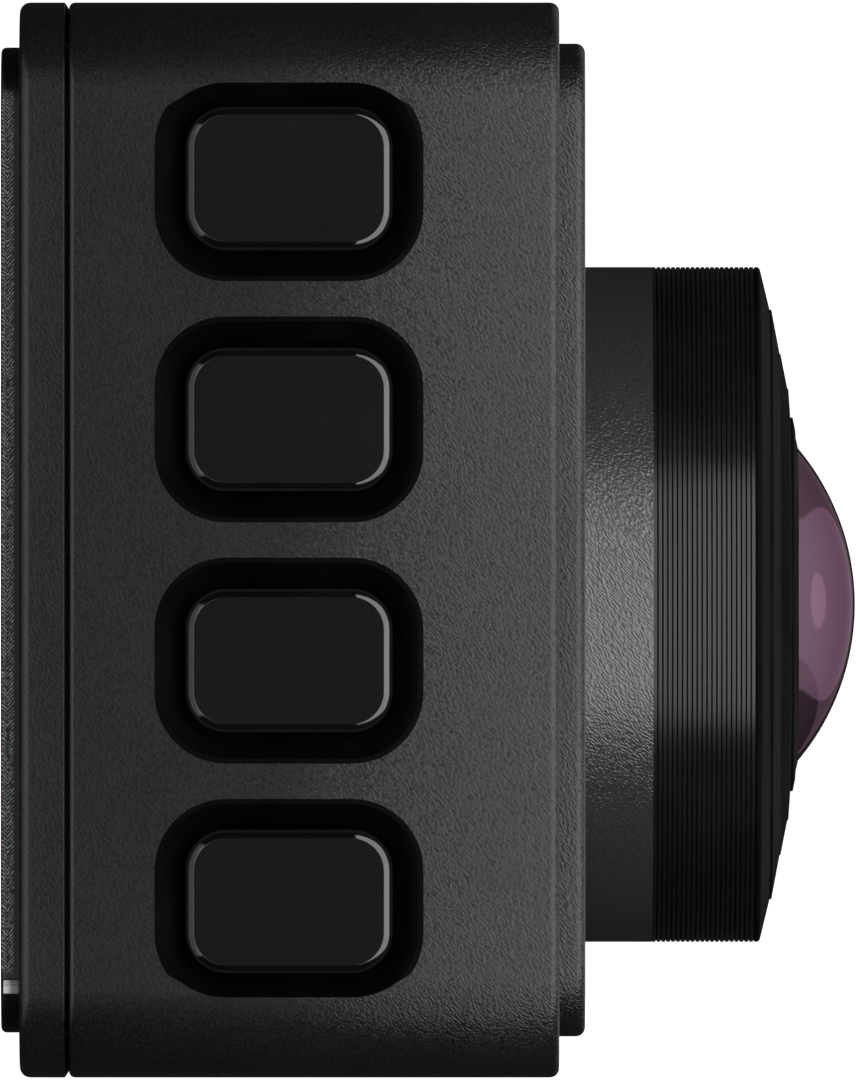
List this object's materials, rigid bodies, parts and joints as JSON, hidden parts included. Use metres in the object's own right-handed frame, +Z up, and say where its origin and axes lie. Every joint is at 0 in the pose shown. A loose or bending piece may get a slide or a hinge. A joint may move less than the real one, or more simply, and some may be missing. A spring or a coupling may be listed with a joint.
{
  "type": "compact screen camera",
  "caption": "Small rectangular camera with a rear screen, side keys in dished recesses and a wide ribbed front lens; keys press and the memory card slides out.",
  "frame": {"origin": "middle of the camera's box, on the flat underside that it stands on", "axes": "+Z up, -Y forward through the lens, -X out of the side that carries the keys"},
  "size_m": [0.0562, 0.0328, 0.0407],
  "materials": {
    "shell_black": "fine leather grain",
    "bezel_black": "satin",
    "key_gloss": "polished",
    "ring_black": "satin anodised",
    "coated_glass": "purple anti-glare coating",
    "screen_glass": "polished, dark",
    "lens_glass": "coated",
    "inner_plastic": "moulded",
    "plated_steel": "plated",
    "magnet_nickel": "nickel plated",
    "board_green": "solder mask",
    "chip_black": "moulded",
    "lcd_dark": "polarising film",
    "diffuser_white": "diffusing",
    "ribbon_amber": "film",
    "battery_wrap": "foil pouch",
    "ceramic_tan": "fired",
    "soft_black": "soft",
    "plunger_red": "moulded"
  },
  "bodies": {
    "camera": {"front_housing": "shell_black", "rear_frame": "shell_black", "display_bezel": "bezel_black", "bezel_clip": "plated_steel", "display_glass": "screen_glass", "display_gasket": "soft_black", "front_plate": "shell_black", "seat_disc": "plated_steel", "seat_magnet": "magnet_nickel", "case_screws": "plated_steel", "short_screws": "plated_steel", "lcd_panel": "lcd_dark", "backlight": "diffuser_white", "lcd_tray": "plated_steel", "inner_frame": "inner_plastic", "main_board": "board_green", "processor": "chip_black", "shield_can": "plated_steel", "board_chips": "chip_black", "port_shell": "plated_steel", "port_tongue": "inner_plastic", "card_socket": "plated_steel", "battery_cell": "battery_wrap", "satellite_antenna": "ceramic_tan", "radio_antenna": "ribbon_amber", "speaker": "inner_plastic", "microphone": "plated_steel", "screen_ribbon": "ribbon_amber", "sensor_ribbon": "ribbon_amber", "key_ribbon": "ribbon_amber", "switch_bodies": "chip_black", "key_mat": "soft_black", "key_board": "board_green", "key_bracket": "plated_steel", "lens_boss": "shell_black", "grip_ring": "ring_black", "bezel_ring": "ring_black", "cone_ring": "ring_black", "retaining_ring": "ring_black", "front_lens": "coated_glass", "lens_barrel": "ring_black", "second_lens": "lens_glass", "third_lens": "lens_glass", "aperture_plate": "inner_plastic", "lens_doublet": "lens_glass", "rear_lens": "lens_glass", "lens_spacers": "inner_plastic", "infrared_filter": "lens_glass", "image_sensor": "chip_black", "sensor_board": "board_green", "lens_carrier": "inner_plastic"},
    "top_key": {"key_top": "key_gloss", "plunger_top": "plunger_red"},
    "upper_key": {"key_upper": "key_gloss", "plunger_upper": "plunger_red"},
    "lower_key": {"key_lower": "key_gloss", "plunger_lower": "plunger_red"},
    "bottom_key": {"key_bottom": "key_gloss", "plunger_bottom": "plunger_red"},
    "card": {"memory_card": "inner_plastic"}
  },
  "joints": [
    {"name": "top_key_press", "type": "slide", "parent": "camera", "child": "top_key", "axis": [1, 0, 0], "range_m": [0, 0.00035], "stiffness_N_per_m": 1500, "springref_m": -0.0004},
    {"name": "upper_key_press", "type": "slide", "parent": "camera", "child": "upper_key", "axis": [1, 0, 0], "range_m": [0, 0.00035], "stiffness_N_per_m": 1500, "springref_m": -0.0004},
    {"name": "lower_key_press", "type": "slide", "parent": "camera", "child": "lower_key", "axis": [1, 0, 0], "range_m": [0, 0.00035], "stiffness_N_per_m": 1500, "springref_m": -0.0004},
    {"name": "bottom_key_press", "type": "slide", "parent": "camera", "child": "bottom_key", "axis": [1, 0, 0], "range_m": [0, 0.00035], "stiffness_N_per_m": 1500, "springref_m": -0.0004},
    {"name": "card_slide", "type": "slide", "parent": "camera", "child": "card", "axis": [0, 0, -1], "range_m": [0, 0.0155]}
  ]
}
